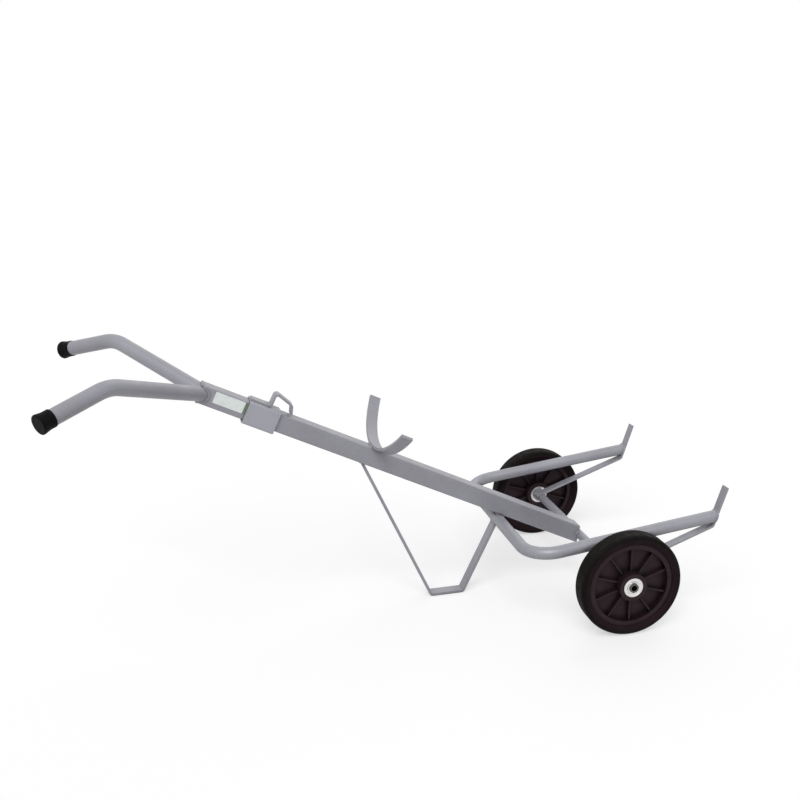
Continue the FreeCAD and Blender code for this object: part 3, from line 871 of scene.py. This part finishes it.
@dataclass
class SpineFrame:
    """The welded frame: spine, handles, saddle, stand, fork and toes, with sizes in millimetres."""

    shop: Dresser
    spine_half: float = 20.0
    spine_end: float = 940.0
    bar_half: float = 12.7
    bead_inset: float = 2.0
    saddle_station: float = 541.0
    saddle_rise: float = 0.4
    stand_stations: Pair = (553.8, 563.8)
    stand_sink: float = 0.3
    stand_at_fork: tuple[Pair, ...] = ((-208.3, 50.1), (-202.6, 47.3))
    fork_station: float = 206.0
    fork_groove: float = 7.6
    fork_sink: float = 1.4
    fork_radius: float = 13.35
    fork_middle: float = 230.0
    handle_radius: float = 15.875
    handle_root: float = 924.0
    handle_splay: float = 45.0
    handle_arc: Pair = (100.0, 260.0)
    seam_arc: Pair = (-62.0, 62.0)
    seam_end: float = 17.6
    axle_rise: float = 0.4
    notch_arc: Pair = (-73.0, 45.0)
    toe_middle: float = 228.0
    toe_half: float = 9.525
    toe_lean: float = 18.5
    toe_seat: Pair = (216.6, 107.67)
    seat_stretch_share: float = 1.103
    fill_ahead: float = 0.6
    fill_outside: float = 1.9
    fill_half: float = 9.5
    brace_welds: tuple[Pair, ...] = ((2.5, 10.4), (-8.4, 6.5))
    bar_bead: Bead = Bead(2.2)
    fork_bead: Bead = Bead(2.6)
    handle_bead: Bead = Bead(2.8)
    seam_bead: Bead = Bead(3.4)
    axle_bead: Bead = Bead(2.4)
    toe_bead: Bead = Bead(2.3)
    fill_bead: Bead = Bead(2.4)
    brace_bead: Bead = Bead(1.9)

    def crosswise(self, along: float, above: float, half: float) -> list[Vector]:
        """A straight path across the spine, by its place along and above the spine's middle line."""
        on = self.shop.layout.on_spine
        return [on(along, -half, above), on(along, half, above)]

    def build(self) -> None:
        """Lays the frame's weld beads."""
        inner = self.spine_half - self.bead_inset
        edges = (self.saddle_station - self.bar_half, self.saddle_station + self.bar_half)
        seat = self.spine_half + self.saddle_rise
        saddle = [self.crosswise(station, seat, inner) for station in edges]
        self.shop.weld("saddle_weld", self.bar_bead, saddle)
        under = -self.spine_half - self.stand_sink
        rear = [self.crosswise(station, under, self.bar_half) for station in self.stand_stations]
        self.shop.weld("stand_spine_weld", self.bar_bead, rear)
        groove = (self.fork_station - self.fork_groove, self.fork_station + self.fork_groove)
        beneath = -self.spine_half - self.fork_sink
        fork = [self.crosswise(station, beneath, inner) for station in groove]
        self.shop.weld("fork_spine_weld", self.fork_bead, fork)
        at = self.shop.layout.at_axle
        front = [[at(x, -self.bar_half, z), at(x, self.bar_half, z)] for x, z in self.stand_at_fork]
        self.shop.weld("stand_fork_weld", self.bar_bead, front)
        self.build_handle_welds()
        self.build_axle_weld()
        for side in Side:
            self.build_toe_welds(side)

    def build_handle_welds(self) -> None:
        """Lays the beads round the handles' roots, along their seam and over the spine's end."""
        lay = self.shop.layout
        long_half = self.handle_radius / math.sin(math.radians(self.handle_splay))
        along = lay.up_spine * long_half * MM
        above = lay.off_spine * self.handle_radius * MM
        paths = []
        for side in Side:
            centre = lay.on_spine(self.handle_root + self.spine_half, side.value * self.spine_half, 0.0)
            paths.append(arc(centre, along, above, self.handle_arc))
        self.shop.weld("handle_weld", self.handle_bead, paths)
        seam = arc(lay.on_spine(self.handle_root, 0.0, 0.0), along, above, self.seam_arc)
        inner = self.spine_half - self.bead_inset
        ends = [self.crosswise(self.spine_end, level, inner) for level in (self.seam_end, -self.seam_end)]
        self.shop.weld("handle_seam_weld", self.seam_bead, [seam] + ends)

    def build_axle_weld(self) -> None:
        """Lays the beads along the arc where the spine's notch sits on the axle."""
        lay = self.shop.layout
        reach = (lay.axle_radius + self.axle_rise) * MM
        paths = []
        for side in Side:
            centre = lay.on_spine(0.0, side.value * self.spine_half, 0.0)
            paths.append(arc(centre, lay.up_spine * reach, lay.off_spine * reach, self.notch_arc))
        self.shop.weld("axle_weld", self.axle_bead, paths)

    def build_toe_welds(self, side: Side) -> None:
        """Lays the beads round the fork's end at the toe, and where the brace lands on the axle.

        Args:
            side: the trolley's side.
        """
        at = self.shop.layout.at_axle
        lean = math.radians(self.toe_lean)
        up_toe = Vector((math.sin(lean), 0.0, math.cos(lean)))
        tall = up_toe * self.fork_radius * self.seat_stretch_share * MM
        wide = ACROSS * self.fork_radius * MM
        x, z = self.toe_seat
        ring = arc(at(x, side.value * self.fork_middle, z), wide, tall, CLOSED_RING)
        self.shop.weld(f"{side.word}_toe_weld", self.toe_bead, [ring], closed=True)
        outer = side.value * (self.toe_middle + self.toe_half + self.fill_outside)
        gap = at(x + self.fill_ahead, outer, z)
        half = up_toe * self.fill_half * MM
        self.shop.weld(f"{side.word}_toe_fill", self.fill_bead, [[gap - half, gap + half]])
        near, far = (side.value * (self.toe_middle + end * self.toe_half) for end in (-1, 1))
        lands = [[at(ahead, near, above), at(ahead, far, above)] for ahead, above in self.brace_welds]
        self.shop.weld(f"{side.word}_brace_weld", self.brace_bead, lands)

    def dress(self) -> None:
        """Paints the frame and blackens the handles' caps."""
        names = ["spine_tube", "drum_saddle", "parking_stand", "fork_tube"]
        for side in Side:
            names += [f"{side.word}_handle_tube", f"{side.word}_toe_bracket"]
        self.shop.dress(names, Slot.PAINT)
        masked = MaskedEnamel("silver_enamel_with_masked_ends", layout=self.shop.layout).make()
        self.shop.dress(["axle_tube"], Slot.PAINT, masked)
        self.shop.dress([f"{side.word}_handle_cap" for side in Side], Slot.CAP)


@dataclass
class RimClamp:
    """The sleeve on the spine and its hook, with sizes in millimetres."""

    shop: Dresser
    top: float = 23.3
    hook_station: float = 793.0
    hook_foot: float = 44.0
    hook_half: float = 14.0
    bead_rise: float = 0.4
    bead_start: float = 5.0
    bead_stop: float = 1.0
    bead_inset: float = 2.0
    bead: Bead = Bead(1.8, pitch=2.8)
    # The sleeve's coat looks fresher than the rest
    sleeve_coat: SprayedEnamel = SprayedEnamel("silver_enamel_fresh_coat", "#A5A6AF", "#9B9BA5")

    def build(self) -> None:
        """Lays the beads round the hook's foot."""
        on = self.shop.layout.on_spine
        above = self.top + self.bead_rise
        start = self.hook_station + self.bead_start
        end = self.hook_station + self.hook_foot
        sides = (-self.hook_half, self.hook_half)
        paths = [[on(start, y, above), on(end - self.bead_stop, y, above)] for y in sides]
        half = self.hook_half - self.bead_inset
        paths.append([on(end, -half, above), on(end, half, above)])
        self.shop.weld("hook_weld", self.bead, paths, Body.RIM_CLAMP)

    def dress(self) -> None:
        """Paints the hook and the sleeve."""
        self.shop.dress(["rim_hook"], Slot.PAINT)
        self.shop.dress(["clamp_sleeve"], Slot.PAINT, self.sleeve_coat.make())


@dataclass
class AxleEnd:
    """One end of the axle, from its collar to its retaining ring, with sizes in millimetres."""

    shop: Dresser
    side: Side
    collar_face: float = 240.0
    bead_rise: float = 0.6
    bead_sink: float = 0.3
    bead: Bead = Bead(1.6, pitch=2.8)

    def build(self) -> None:
        """Lays the bead between the collar and the axle."""
        lay = self.shop.layout
        reach = (lay.axle_radius + self.bead_rise) * MM
        centre = lay.at_axle(0.0, self.side.value * (self.collar_face - self.bead_sink), 0.0)
        ring = arc(centre, Vector((reach, 0.0, 0.0)), UP * reach, CLOSED_RING)
        self.shop.weld(f"{self.side.word}_collar_weld", self.bead, [ring], closed=True)

    def dress(self) -> None:
        """Paints the collar and plates the rings."""
        word = self.side.word
        self.shop.dress([f"{word}_axle_collar"], Slot.PAINT)
        rings = [f"{word}_{place}_bearing_inner_ring" for place in ("outboard", "inboard")]
        self.shop.dress([f"{word}_bearing_spacer", f"{word}_retaining_ring", *rings], Slot.STEEL)


@dataclass
class Wheel:
    """One wheel: a solid tyre on a ribbed centre with two bearings, with sizes in millimetres."""

    shop: Dresser
    side: Side
    middle: float = 274.0
    tyre_half: float = 22.0
    ring_radius: float = 101.2
    ring_half: float = 0.9
    ring_top_share: float = 0.5
    ring_proud: float = 0.55
    ring_sunk: float = 0.3
    steps: int = 128

    def circle(self, bm: BMesh, radius: float, across: float) -> list[BMVert]:
        """A ring of points about the axle.

        Args:
            bm: the mesh that takes the points.
            radius: the ring's radius.
            across: its place to the left of the trolley's middle.

        Returns:
            The points in order.
        """
        at = self.shop.layout.at_axle
        points = []
        for step in range(self.steps):
            angle = math.tau * step / self.steps
            points.append(bm.verts.new(at(radius * math.cos(angle), across, radius * math.sin(angle))))
        return points

    def build(self) -> None:
        """Builds the raised mould ring on each of the tyre's two side walls."""
        top = self.ring_half * self.ring_top_share
        section = (
            (-self.ring_half, -self.ring_sunk),
            (-top, self.ring_proud),
            (top, self.ring_proud),
            (self.ring_half, -self.ring_sunk),
        )
        bm = bmesh.new()
        for face in (-1, 1):
            level = self.side.value * self.middle + face * self.tyre_half
            rings = []
            for out, proud in section:
                rings.append(self.circle(bm, self.ring_radius + out, level + face * proud))
            bridge(bm, rings, closed=True)
        name = f"{self.side.word}_tyre_mould_rings"
        piece_from(bm, name, self.side.wheel, [self.shop.finishes[Slot.TYRE]])

    def dress(self) -> None:
        """Gives the tyre, the centre and the bearings their finishes."""
        word = self.side.word
        self.shop.dress([f"{word}_tyre"], Slot.TYRE)
        self.shop.dress([f"{word}_wheel_hub"], Slot.HUB)
        for place in ("outboard", "inboard"):
            bearing = [f"{word}_{place}_bearing_{part}" for part in ("outer_ring", "balls", "shield")]
            self.shop.dress(bearing, Slot.STEEL)


@dataclass
class BlankLabel:
    """A blank sticker on the spine's right-hand face, white with a green end, in millimetres."""

    shop: Dresser
    start: float = 839.6
    stop: float = 911.0
    stripe: float = 6.4
    low: float = -7.6
    high: float = 17.2
    face: float = -20.0
    thickness: float = 0.18
    sunk_share: float = 0.9
    corner: float = 1.6
    corner_steps: int = 5
    # In the order of the faces' material indices: the plain part, then the end
    films: tuple[VinylFilm, ...] = (
        VinylFilm("white_vinyl_film", "#EDF3F1", "#DAE1E0"),
        VinylFilm("green_vinyl_film", "#6A7F63", "#7C8E76"),
    )
    piece: bpy.types.Object = field(init=False)

    def outline(self) -> list[Pair]:
        """The sticker's outline with round corners.

        Returns:
            The points in order, as places along and above the spine's middle line.
        """
        left, right = self.start + self.corner, self.stop - self.corner
        bottom, top = self.low + self.corner, self.high - self.corner
        corners = ((right, top, 0.0), (left, top, 90.0), (left, bottom, 180.0), (right, bottom, 270.0))
        points = []
        for along, above, turn in corners:
            for step in range(self.corner_steps + 1):
                angle = math.radians(turn + 90.0 * step / self.corner_steps)
                ahead, rise = self.corner * math.cos(angle), self.corner * math.sin(angle)
                points.append((along + ahead, above + rise))
        return points

    def build(self) -> None:
        """Builds the sticker as a thin plate, cut at the edge of its green end."""
        bm = bmesh.new()
        on = self.shop.layout.on_spine
        up_spine = self.shop.layout.up_spine
        front = self.face - self.thickness
        plate = bm.faces.new([bm.verts.new(on(along, front, above)) for along, above in self.outline()])
        edge = on(self.start + self.stripe, self.face, 0.0)
        geometry = list(bm.verts) + list(bm.edges) + [plate]
        bmesh.ops.bisect_plane(bm, geom=geometry, plane_co=edge, plane_no=up_spine)
        for part in bm.faces:
            part.material_index = int((part.calc_center_median() - edge).dot(up_spine) < 0)
        sunk = bmesh.ops.extrude_face_region(bm, geom=list(bm.faces))
        verts = [item for item in sunk["geom"] if isinstance(item, BMVert)]
        bmesh.ops.translate(bm, verts=verts, vec=ACROSS * self.thickness * self.sunk_share * MM)
        self.piece = piece_from(bm, "blank_label", Body.FRAME, [])
        for polygon in self.piece.data.polygons:
            polygon.use_smooth = False

    def dress(self) -> None:
        """Covers the sticker with its two films."""
        for film in self.films:
            self.piece.data.materials.append(film.make())


# Studio
@dataclass(frozen=True)
class Lamp:
    """A wide soft lamp, far off: the way to it, how wide it looks in degrees and its strength."""

    name: str
    way: Triple
    width: float
    strength: float

    def build(self) -> None:
        """Adds the lamp to the scene."""
        light = bpy.data.lights.new(self.name, "SUN")
        light.angle = math.radians(self.width)
        # At a strength of one, a matt face square to the lamp shows its colour as it is written
        light.energy = self.strength * math.pi
        lamp = bpy.data.objects.new(self.name, light)
        lamp.rotation_euler = Vector(self.way).to_track_quat("Z", "Y").to_euler()
        bpy.context.scene.collection.objects.link(lamp)


@dataclass
class Studio:
    """A pale floor, a white backdrop, soft lamps and the camera at the photograph's angle."""

    # The floor in metres
    floor_half: float = 40.0
    floor_drop: float = 0.0006
    floor_colour: str = "#BDBDBD"
    floor_glow: float = 0.53
    ambient: float = 0.46
    # The camera's place in millimetres, its turn in degrees and its focal length in pixels of the image
    camera_mm: Triple = (-457.05, -2065.82, 1090.56)
    camera_turn: Triple = (73.72, 0.963, -13.491)
    focal_pixels: float = 1021.33
    image_pixels: float = 800.0
    sensor_mm: float = 36.0
    lamps: tuple[Lamp, ...] = (
        Lamp("key_lamp", (-0.3, -0.58, 0.76), 40.0, 0.52),
        Lamp("back_lamp", (0.5, 0.6, 0.62), 50.0, 0.12),
    )

    def seen(self, tree: NodeTree) -> Socket:
        """A switch for rays that show the backdrop.

        Args:
            tree: the node tree.

        Returns:
            The socket of a value that is one for camera, glossy and transmission rays.
        """
        rays = add(tree, "LightPath").outputs
        links = {0: rays["Is Camera Ray"], 1: rays["Is Glossy Ray"]}
        either = add(tree, "Math", {"operation": "MAXIMUM"}, links)
        links = {0: either.outputs[0], 1: rays["Is Transmission Ray"]}
        return add(tree, "Math", {"operation": "MAXIMUM"}, links).outputs[0]

    def build_world(self) -> None:
        """Makes a plain ambient world that the camera sees as white."""
        world = bpy.data.worlds.new("studio_world")
        world.use_nodes = True
        tree = world.node_tree
        tree.nodes.clear()
        soft = add(tree, "Background", {"Color": linear(WHITE), "Strength": self.ambient})
        white = add(tree, "Background", {"Color": linear(WHITE), "Strength": 1.0})
        links = {0: self.seen(tree), 1: soft.outputs[0], 2: white.outputs[0]}
        both = add(tree, "MixShader", links=links)
        add(tree, "OutputWorld", links={"Surface": both.outputs[0]})
        bpy.context.scene.world = world

    def floor_material(self) -> Material:
        """Makes a matt floor paint that the camera sees as white where nothing shades it.

        Returns:
            The new material.
        """
        material = bpy.data.materials.new("pale_floor")
        material.use_nodes = True
        tree = material.node_tree
        tree.nodes.clear()
        matt = add(tree, "BsdfDiffuse", {"Color": linear(self.floor_colour)})
        glow = add(tree, "Emission", {"Color": linear(WHITE), "Strength": self.floor_glow})
        bright = add(tree, "AddShader", links={0: matt.outputs[0], 1: glow.outputs[0]})
        links = {0: self.seen(tree), 1: matt.outputs[0], 2: bright.outputs[0]}
        both = add(tree, "MixShader", links=links)
        add(tree, "OutputMaterial", links={"Surface": both.outputs[0]})
        return material

    def build_floor(self) -> None:
        """Lays a pale floor that keeps the object's shadow."""
        bm = bmesh.new()
        half = self.floor_half
        corners = ((-half, -half), (half, -half), (half, half), (-half, half))
        bm.faces.new([bm.verts.new((x, y, -self.floor_drop)) for x, y in corners])
        mesh = bpy.data.meshes.new("studio_floor")
        bm.to_mesh(mesh)
        bm.free()
        mesh.materials.append(self.floor_material())
        floor = bpy.data.objects.new("studio_floor", mesh)
        bpy.context.scene.collection.objects.link(floor)

    def build_camera(self) -> None:
        """Makes the camera and sets it as the scene's."""
        data = bpy.data.cameras.new("photo_camera")
        data.sensor_width = self.sensor_mm
        data.lens = self.focal_pixels / self.image_pixels * self.sensor_mm
        camera = bpy.data.objects.new("photo_camera", data)
        bpy.context.scene.collection.objects.link(camera)
        turn = Euler([math.radians(angle) for angle in self.camera_turn])
        camera.matrix_world = Matrix.LocRotScale(Vector(self.camera_mm) * MM, turn, None)
        bpy.context.scene.camera = camera

    def build(self) -> None:
        """Builds the whole studio."""
        bpy.context.scene.view_settings.view_transform = "Standard"
        self.build_world()
        self.build_floor()
        self.build_camera()
        for lamp in self.lamps:
            lamp.build()


def main() -> None:
    """Builds the looks of the trolley, piece by piece, and its studio."""
    logging.basicConfig(level=logging.INFO, format="%(message)s")
    layout = Layout.from_joints(frame["joints"])
    finishes = {
        Slot.PAINT: SprayedEnamel("silver_enamel").make(),
        Slot.CAP: MouldedVinyl("black_vinyl").make(),
        Slot.TYRE: SolidRubber("solid_rubber", layout).make(),
        Slot.HUB: MouldedPolypropylene("brown_black_polypropylene").make(),
        Slot.STEEL: ZincPlate("zinc_plate", layout).make(),
    }
    shop = Dresser(layout, finishes)
    parts: list[SubAssembly] = [SpineFrame(shop), RimClamp(shop)]
    for side in Side:
        parts += [AxleEnd(shop, side), Wheel(shop, side)]
    parts.append(BlankLabel(shop))
    for part in parts:
        part.build()
        part.dress()
    Studio().build()


if __name__ == "__main__":
    main()
